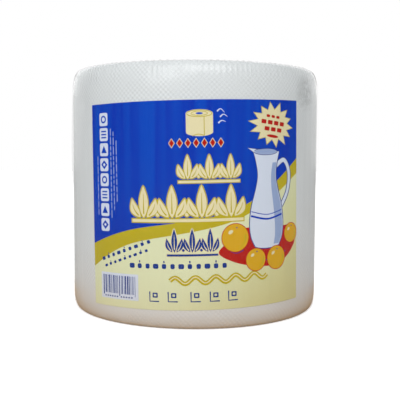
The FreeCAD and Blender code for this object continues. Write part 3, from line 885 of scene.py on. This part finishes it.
def draw_roll_sign(drawing):
    """A small roll of paper on end, with its leaf hanging."""
    s, t = 2.6, 89.2
    top, foot = (s, t + 4.4), (s, t - 4.4)
    drawing.add("cream", ring(foot, (6.4, 1.9)), block((s, t), 12.8, 8.8), ring(top, (6.4, 1.9)))
    drawing.line("gold", ring(top, (6.0, 1.6), 28, 180, 540), 0.35)
    drawing.line("gold", ring(top, (3.9, 1.0), 24, 180, 540), 0.3)
    drawing.add("blue", ring(top, (1.7, 0.5), 18))
    drawing.line("gold", near(s, t, (2.2, 2.7), (2.2, -6.0)), 0.35)
    drawing.line("gold", curve(near(s, t, (2.2, -6.0), (-0.6, -5.3), (-3.4, -6.2)), 6), 0.35)
    for index, (x, y) in enumerate(((8.4, 5.2), (9.8, 2.6), (8.9, -0.3))):
        points = near(s + x, t + y, (0, 0), (1.7, 1.2), (3.6, 0.6 * (index - 1)))
        drawing.line("white", curve(points, 6), 0.7, 0.15)


def leaf(base, tip, half_width, bend, grow=0.0):
    """A smooth leaf from base to tip, bent to its left, and its vein."""
    along = (tip[0] - base[0], tip[1] - base[1])
    reach = math.hypot(*along)
    aside = (-along[1] / reach, along[0] / reach)
    left, right, vein = [], [], []
    for step in range(17):
        share = step / 16
        full = math.sin(math.pi * share**0.86) if 0 < share < 1 else 0.0
        middle = bend * math.sin(math.pi * share)
        at = -grow / reach + share * (1 + 2 * grow / reach)
        for side, edge in ((1, left), (-1, right), (0, vein)):
            offset = side * (half_width * full + grow * (0 < share < 1)) + middle
            edge.append((base[0] + along[0] * at + aside[0] * offset, base[1] + along[1] * at + aside[1] * offset))
    return right + left[-2:0:-1], vein[2:-4]


def sprig(s, t, width, height, grow=0.0):
    """The leaves of one sprig: an upright one between two that lean out."""
    leaves = [leaf((s, t - height / 2), (s, t + height / 2), width * 0.19, 0.0, grow)]
    for side in (-1, 1):
        root = (s + side * width * 0.14, t - height * 0.48)
        tip = (s + side * width * 0.5, t + height * 0.1)
        leaves.append(leaf(root, tip, width * 0.17, -side * width * 0.1, grow))
    return leaves


def draw_sprigs(drawing):
    """Rows of leaf sprigs over a thin line: two in cream edged in gold, one in navy."""
    rows = (
        ("cream", "gold", -3.4, 68.6, 10.3, 9.0, 11.6, 3, 0.4),
        ("cream", "gold", -25.4, 52.2, 14.2, 12.4, 15.5, 4, 0.5),
        ("navy", "cream", drawing.edge - 68.3, 33.6, 8.6, 7.4, 11.5, 3, 0.35),
    )
    for ink, rim_ink, s, t, pitch, width, height, count, rim in rows:
        first, last, low = s - width / 2, s + (count - 1) * pitch + width / 2, t - height / 2 - 1.3
        drawing.line(rim_ink, [(first - rim, low), (last + rim, low)], height * 0.09 + 2 * rim)
        centres = [s + index * pitch for index in range(count)]
        for centre in centres:
            drawing.add(rim_ink, *[outline for outline, _ in sprig(centre, t, width, height, rim)])
            if centre != centres[-1]:
                berry = (centre + pitch / 2, t - height * 0.4)
                drawing.add(rim_ink, disc(berry, height * 0.06 + rim, 16))
                drawing.add(ink, disc(berry, height * 0.06, 16))
        for centre in centres:
            for outline, vein in sprig(centre, t, width, height):
                drawing.add(ink, outline)
                drawing.line(rim_ink, vein, height * 0.045, height * 0.012)
        drawing.line(ink, [(first, low), (last, low)], height * 0.09)


def draw_small_rows(drawing):
    """Red diamonds, navy dashes, plain icons and a wavy ribbon."""
    for index in range(7):
        s, t = 0.9 + (index - 3) * 3.9, 79.8
        for ink, wide, high in (("cream", 1.6, 2.4), ("red", 1.25, 1.9)):
            drawing.add(ink, near(s, t, (-wide, 0), (0, -high), (wide, 0), (0, high)))
    rows = (
        ((-50.3, 23.5), (-23.2, 32.9), 9, 1.7), ((-48.5, 20.2), (-24.5, 28.6), 9, 1.3),
        ((-32.3, 21.2), (13.5, 21.2), 12, 2.4),
    )
    for (s0, t0), (s1, t1), count, high in rows:
        tilt = math.degrees(math.atan2(t1 - t0, s1 - s0))
        for index in range(count):
            share = index / (count - 1)
            wide = (s1 - s0) / count * (0.55 if index % 3 else 0.72)
            s, t = s0 + (s1 - s0) * share, t0 + (t1 - t0) * share
            drawing.add("navy", block((s, t), wide, high, high * 0.3, tilt))
            if index % 3 == 1:
                drawing.add("navy", block((s, t + high * 0.9), wide * 0.3, high * 0.45, 0, tilt))
    for s in (-21.0, -11.8, -0.8, 8.4, 17.4):
        drawing.line("navy", [(s - 2.1, 8.9), (s - 2.1, 4.2), (s + 2.5, 4.2)], 0.6)
        drawing.add("navy", block((s + 0.6, 7.2), 2.6, 2.4, 0.4))
        drawing.add("sheet", block((s + 0.6, 7.2), 1.3, 1.1, 0.2))
    steps = 80
    wave = [
        (-12.9 + 49.0 * step / steps, 14.2 + step / steps + 1.5 * math.sin(step * math.pi / 8))
        for step in range(steps + 1)
    ]
    drawing.line("gold", wave, 2.2)
    drawing.line("cream", near(0, 0.1, *wave), 0.5)


def draw_still_life(drawing):
    """A white pitcher with oranges on a red cloth."""
    middle, foot = drawing.edge - 21.1, 29.7

    def line(*points, steps=8, closed=False):
        return curve(near(middle, foot, *points), steps, closed)

    drawing.add("red", line(
        (-26, -2.4), (-20, 3.6), (-12, 9), (2, 7), (14, 8.5), (19.8, 1.2), (13, -7), (3, -10.4), (-9, -9.6),
        (-19, -7), closed=True,
    ))
    for x, y, reach in ((-17, -3, 7), (-3, -8, 9), (9, -5.5, 6)):
        drawing.line("navy", line((x - reach / 2, y + 1), (x, y), (x + reach / 2, y + 1.4)), 0.2, 0.5)
    half = [(7.4, 0), (9.4, 4.5), (10, 11), (9.0, 19), (6.4, 28), (5.4, 34), (6.2, 40), (7.6, 45.2)]
    right = line(*half, steps=6)
    left = [(2 * middle - s, t) for s, t in right]
    lip = near(middle, foot, (7.6, 45.2), (-6, 46.6), (-10.6, 47.2), (-7.6, 45.2))
    body = right + lip + left[::-1] + ring((middle, foot), (7.4, 1.6), 16, 180, 360)[1:-1]
    bow = line((5.6, 38.5), (11, 41), (14.6, 35), (13.6, 26), (9.0, 18.5))
    drawing.line("navy", bow, 3.1, 2.6)
    drawing.line("white", bow, 2.2, 1.7)
    drawing.line("navy", body + body[:1], 0.9)
    drawing.add("white", body)
    outer = [(x * 0.96, y) for x, y in half[:-1]]
    inner = [(x * share, y) for (x, y), share in zip(half, (0.5, 0.5, 0.46, 0.42, 0.4, 0.45, 0.55))]
    drawing.add("shade", line(*outer, steps=6) + line(*inner, steps=6)[::-1])
    mouth = (middle - 0.4, foot + 45.4)
    drawing.add("shade", ring(mouth, (6.4, 1.3), 24))
    drawing.line("navy", ring(mouth, (6.9, 1.6), 28, 180, 540), 0.35)
    for wide, high, low, width in ((9.4, 14.5, 12.6, 0.9), (9.2, 16.6, 14.8, 0.4)):
        drawing.line("blue", line((-wide, high), (0, low), (wide, high)), width)
    for x, y, radius in ((-17.6, 4.5, 6.7), (16.1, 4.5, 4.8), (-6.8, -6.8, 5.4), (5.5, -6.8, 5.7)):
        s, t = middle + x, foot + y
        drawing.add("red", disc((s, t), radius + 0.35, 30))
        drawing.add("orange", disc((s, t), radius, 30))
        drawing.line("gold", ring((s, t), (radius * 0.78, radius * 0.78), 14, 285, 375), 0.2, 0.9)
        drawing.add("cream", ring((s - radius * 0.36, t + radius * 0.42), (radius * 0.2, radius * 0.13), 14, tilt=35))
        drawing.add("navy", ring((s + radius * 0.1, t + radius * 0.72), (0.45, 0.3), 8))


def drawn_print(edge):
    """The areas of the whole print, for a sheet that reaches this far to each side."""
    drawing = Drawing(edge)
    for draw in (
        draw_fields, draw_tiles, draw_bars, draw_burst, draw_roll_sign, draw_small_rows, draw_sprigs, draw_still_life,
    ):
        draw(drawing)
    return drawing.areas


def parted(areas, edge, columns):
    """Splits the sheet into triangles, each in the ink that lies on top there."""
    points, lines = [], []
    for _, outline in areas:
        first = len(points)
        points += [Vector(point) for point in outline]
        lines += [(first + index, first + (index + 1) % len(outline)) for index in range(len(outline))]
    for column in range(1, columns):
        s = -edge + 2 * edge * column / columns
        lines.append((len(points), len(points) + 1))
        points += [Vector((s, 0.0)), Vector((s, 100.0))]
    made, _, triangles, _, _, _ = geometry.delaunay_2d_cdt(points, lines, [], 0, 1e-4, False)
    corners = np.array([tuple(point) for point in made])
    middles = corners[np.array(triangles)].mean(axis=1)
    inks = ["sheet"] * len(triangles)
    for ink, outline in areas[1:]:
        for index in np.flatnonzero(inside(middles, np.array(outline))):
            inks[index] = ink
    return [tuple(point) for point in made], triangles, inks


def inside(places, outline):
    """Which of the places lie inside the outline."""
    found = np.zeros(len(places), bool)
    box = np.all((places >= outline.min(axis=0)) & (places <= outline.max(axis=0)), axis=1)
    near = places[box]
    odd = np.zeros(len(near), bool)
    for a, b in zip(outline, np.roll(outline, -1, axis=0)):
        if a[1] != b[1]:
            crosses = (a[1] > near[:, 1]) != (b[1] > near[:, 1])
            odd ^= crosses & (near[:, 0] < a[0] + (near[:, 1] - a[1]) * (b[0] - a[0]) / (b[1] - a[1]))
    found[box] = odd
    return found


class BuildLabel(bpy.types.Operator):
    """Builds the printed sheet and its inks, wrapped on the roll"""

    bl_idname = "kitchen_roll.build_label"
    bl_label = "Build Printed Sheet"

    def plate(self, name, points, triangles, faces_at):
        """A thin closed plate of the triangles, wrapped on the roll, with its two faces at these heights over it."""
        label = self.label
        unit = label.height / 100
        used = sorted({corner for triangle in triangles for corner in triangle})
        place = {corner: index for index, corner in enumerate(used)}
        shell = []
        for radius in (self.paper.radius + faces_at[1], self.paper.radius + faces_at[0]):
            for corner in used:
                s, t = points[corner][0] * unit, points[corner][1] * unit - label.height / 2
                along = label.offset + s * math.cos(label.tilt) - t * math.sin(label.tilt)
                up = label.middle + s * math.sin(label.tilt) + t * math.cos(label.tilt)
                angle = along / self.paper.radius
                shell.append((radius * math.sin(angle), -radius * math.cos(angle), up))
        count = len(used)
        faces, edges = [], {}
        for triangle in triangles:
            a, b, c = (place[corner] for corner in triangle)
            faces += [(a, b, c), (c + count, b + count, a + count)]
            for first, second in ((a, b), (b, c), (c, a)):
                if (second, first) in edges:
                    del edges[(second, first)]
                else:
                    edges[(first, second)] = True
        faces += [(second, first, first + count, second + count) for first, second in edges]
        obj = new_object(name, shell, faces)
        smooth(obj.data, 40)
        return obj

    def execute(self, context):
        self.label, self.paper = context.scene.roll_label, context.scene.roll_paper
        label = self.label
        edge = label.width / label.height * 50
        points, triangles, inks = parted(drawn_print(edge), edge, SHEET_COLUMNS)
        sheet = self.plate("printed_sheet", points, triangles, SHEET_FACES)
        sheet.data.materials.append(print_material("cream_paper", label.sheet, low=label.sheet_low))
        ride_as(sheet, "sheet_cream", "label_sheet")
        for ink in ("blue", "gold", "white", "cream", "red", "orange", "navy"):
            wanted = {ink, "shade"} if ink == "white" else {ink}
            chosen = [index for index, found in enumerate(inks) if found in wanted]
            obj = self.plate("print_" + ink, points, [triangles[index] for index in chosen], INK_FACES)
            # Only the blue gets the painted sheen streaks.
            painted_sheen = label.blue_painted_sheen if ink == "blue" else None
            obj.data.materials.append(print_material("ink_" + ink, getattr(label, ink), painted_sheen=painted_sheen))
            if ink == "white":
                obj.data.materials.append(print_material("ink_shade", label.shade))
                for order, index in enumerate(chosen):
                    for face in (2 * order, 2 * order + 1):
                        obj.data.polygons[face].material_index = int(inks[index] == "shade")
            ride_as(obj, "print_" + ink, "ink_" + ink)
        return {"FINISHED"}


class BuildFilm(bpy.types.Operator):
    """Builds the shrink film with its gathers, its small folds and its lap"""

    bl_idname = "kitchen_roll.build_film"
    bl_label = "Build Film"

    def lap(self, film, paper, radius, top, foot):
        """The inner edge of the overlap down the back: a thin band that follows the side."""
        points, faces = [], []
        for row, (away, height) in enumerate(side_profile(paper, radius, top, foot, 12, 40, 8)):
            half = film.lap / 2 * (1 + 0.06 * math.sin(row * 0.9))
            points += [(x, math.sqrt(away * away - x * x), height) for x in (half, 0.0, -half)]
        for corner in range(0, len(points) - 3, 3):
            for side in (corner, corner + 1):
                faces.append((side, side + 3, side + 4, side + 1))
        return points, faces

    def execute(self, context):
        film, paper = context.scene.roll_film, context.scene.roll_paper
        radius = paper.radius + film.clearance
        top, foot = paper.height - FILM_END, FILM_END
        rim_top, rim_foot = radius - paper.shoulder_pull, radius - paper.foot_pull
        profile = path((film.eye, top, 22), (rim_top, top, 0))
        profile += side_profile(paper, radius, top, foot, 16, 12, 10)
        profile += path((rim_foot, foot, 7), (film.eye, foot, 0))[1:] + [(film.eye, foot)]
        points, faces = turned(profile, even_angles(FILM_COLUMNS), False)
        lap_points, lap_faces = self.lap(film, paper, radius - LAP_UNDER, top - LAP_UNDER, foot + LAP_UNDER)
        faces += [tuple(corner + len(points) for corner in face) for face in lap_faces]
        obj = new_object("shrink_film", points + lap_points, faces)
        shaped(obj, "Shrink film", film_rule, {
            "Height": paper.height, "Shoulder": paper.shoulder_drop, "Foot": paper.foot_rise,
            "Rim": rim_top, "Eye": film.eye,
            "Puckers": film.pucker_count, "Pucker height": film.pucker_height, "Pucker reach": film.pucker_reach,
            "Ripples": film.ripple_count, "Ripple depth": film.ripple_depth,
            "Crumple": film.crumple, "Bulge": film.bulge, "Seed": 3,
        }, film_material(film, paper))
        solid = obj.modifiers.new("Gauge", "SOLIDIFY")
        solid.thickness = film.gauge
        solid.offset = 0.0
        solid.use_rim = True
        ride_as(obj, "clear_film", "wrap_film")
        return {"FINISHED"}


def ray_is(tree, kind):
    """1 for a ray of this kind, otherwise 0."""
    return Field(tree, new_node(tree, "ShaderNodeLightPath").outputs["Is " + kind + " Ray"])


class BuildStage(bpy.types.Operator):
    """Sets up the floor, the lamps and the camera"""

    bl_idname = "kitchen_roll.build_stage"
    bl_label = "Build Stage"

    def lamp(self, name, place, aim, size, power):
        data = bpy.data.lights.new(name, "AREA")
        data.shape = "RECTANGLE"
        data.size, data.size_y = size
        data.energy = power
        obj = bpy.data.objects.new(name, data)
        obj.location = place
        obj.visible_camera = False
        obj.rotation_euler = (Vector(aim) - Vector(place)).to_track_quat("-Z", "Y").to_euler()
        bpy.context.scene.collection.objects.link(obj)

    def floor(self, stage):
        """A plain floor that the camera sees as white, and that throws warm light on the roll's foot."""
        corners = ((-4, -4), (4, -4), (4, 4), (-4, 4))
        obj = new_object("floor", [(x, y, FLOOR_LEVEL) for x, y in corners], [(0, 1, 2, 3)])
        material, tree, shader = shader_of("pale_floor")
        x, y, _ = object_place(tree)
        _, away, _, _ = round_place(x, y)
        seen = ray_is(tree, "Camera")
        warm = eased((WARM_REACH - away) / WARM_FADE) * (1.0 - seen)
        feed(tree, shader, {
            "Base Color": mixed_colour(stage.floor_tint, stage.foot_tint, warm),
            "Roughness": 0.9, "Specular IOR Level": 0.1,
            "Emission Color": WHITE, "Emission Strength": seen * FLOOR_GLOW,
        })
        obj.data.materials.append(material)

    def world(self, stage):
        """White to the camera, an even light on the roll, and in its gloss a dim room with a white backdrop."""
        world = bpy.data.worlds.new("studio")
        world.use_nodes = True
        tree = world.node_tree
        shown = combine("MAXIMUM", ray_is(tree, "Camera"), ray_is(tree, "Transmission"))
        direction = new_node(tree, "ShaderNodeTexCoord").outputs["Generated"]
        behind = eased((parts_of(tree, direction)[1] - BACKDROP_START) / BACKDROP_FADE)
        mirrored = ray_is(tree, "Glossy") * (behind * (1.0 - stage.room) + (stage.room - stage.fill))
        level = shown * (1.0 - stage.fill) + stage.fill + mirrored * (1.0 - shown)
        feed(tree, tree.nodes["Background"], {"Color": WHITE, "Strength": level})
        bpy.context.scene.world = world

    def execute(self, context):
        stage = context.scene.roll_stage
        self.floor(stage)
        self.world(stage)
        self.lamp("key_lamp", (-0.75, -1.4, 1.0), (0, 0, 0.1), (0.9, 0.9), stage.key_power)
        self.lamp("top_lamp", (0.28, -1.3, 1.2), (0, 0, 0.15), (0.8, 0.4), stage.top_power)
        self.lamp("back_lamp", (-0.1, 1.9, 1.1), (0, 0, 0.12), (3.0, 1.6), stage.back_power)
        data = bpy.data.cameras.new("camera")
        data.lens = stage.lens
        data.sensor_width = 36.0
        data.shift_x = stage.shift
        camera = bpy.data.objects.new("camera", data)
        turn = Matrix.Rotation(math.pi / 2 - stage.pitch, 4, "X") @ Matrix.Rotation(stage.roll, 4, "Z")
        camera.matrix_world = Matrix.Translation((0, -stage.camera_back, stage.camera_up)) @ turn
        bpy.context.scene.collection.objects.link(camera)
        bpy.context.scene.camera = camera
        bpy.context.scene.view_settings.view_transform = "Standard"
        return {"FINISHED"}


class KitchenRollPanel(bpy.types.Panel):
    """Sizes, colours and steps of the kitchen roll"""

    bl_idname = "VIEW3D_PT_kitchen_roll"
    bl_label = "Kitchen Roll"
    bl_space_type = "VIEW_3D"
    bl_region_type = "UI"
    bl_category = "Kitchen Roll"

    def draw(self, context):
        for label, name, _, operator in STEPS:
            box = self.layout.box()
            box.label(text=label)
            group = getattr(context.scene, name)
            for setting in group.__annotations__:
                box.prop(group, setting)
            box.operator(operator.bl_idname)


STEPS = (
    ("Core", "roll_core", CoreSettings, BuildCore),
    ("Paper", "roll_paper", PaperSettings, BuildPaper),
    ("Printed sheet", "roll_label", LabelSettings, BuildLabel),
    ("Film", "roll_film", FilmSettings, BuildFilm),
    ("Stage", "roll_stage", StageSettings, BuildStage),
)
CLASSES = (*[step[2] for step in STEPS], *[step[3] for step in STEPS], KitchenRollPanel)


def register():
    for cls in CLASSES:
        bpy.utils.register_class(cls)
    for _, name, settings, _ in STEPS:
        setattr(bpy.types.Scene, name, PointerProperty(type=settings))


def unregister():
    for _, name, _, _ in STEPS:
        delattr(bpy.types.Scene, name)
    for cls in reversed(CLASSES):
        bpy.utils.unregister_class(cls)


def main():
    register()
    bpy.ops.kitchen_roll.build_core()
    bpy.ops.kitchen_roll.build_paper()
    bpy.ops.kitchen_roll.build_label()
    bpy.ops.kitchen_roll.build_film()
    bpy.ops.kitchen_roll.build_stage()


if __name__ == "__main__":
    main()
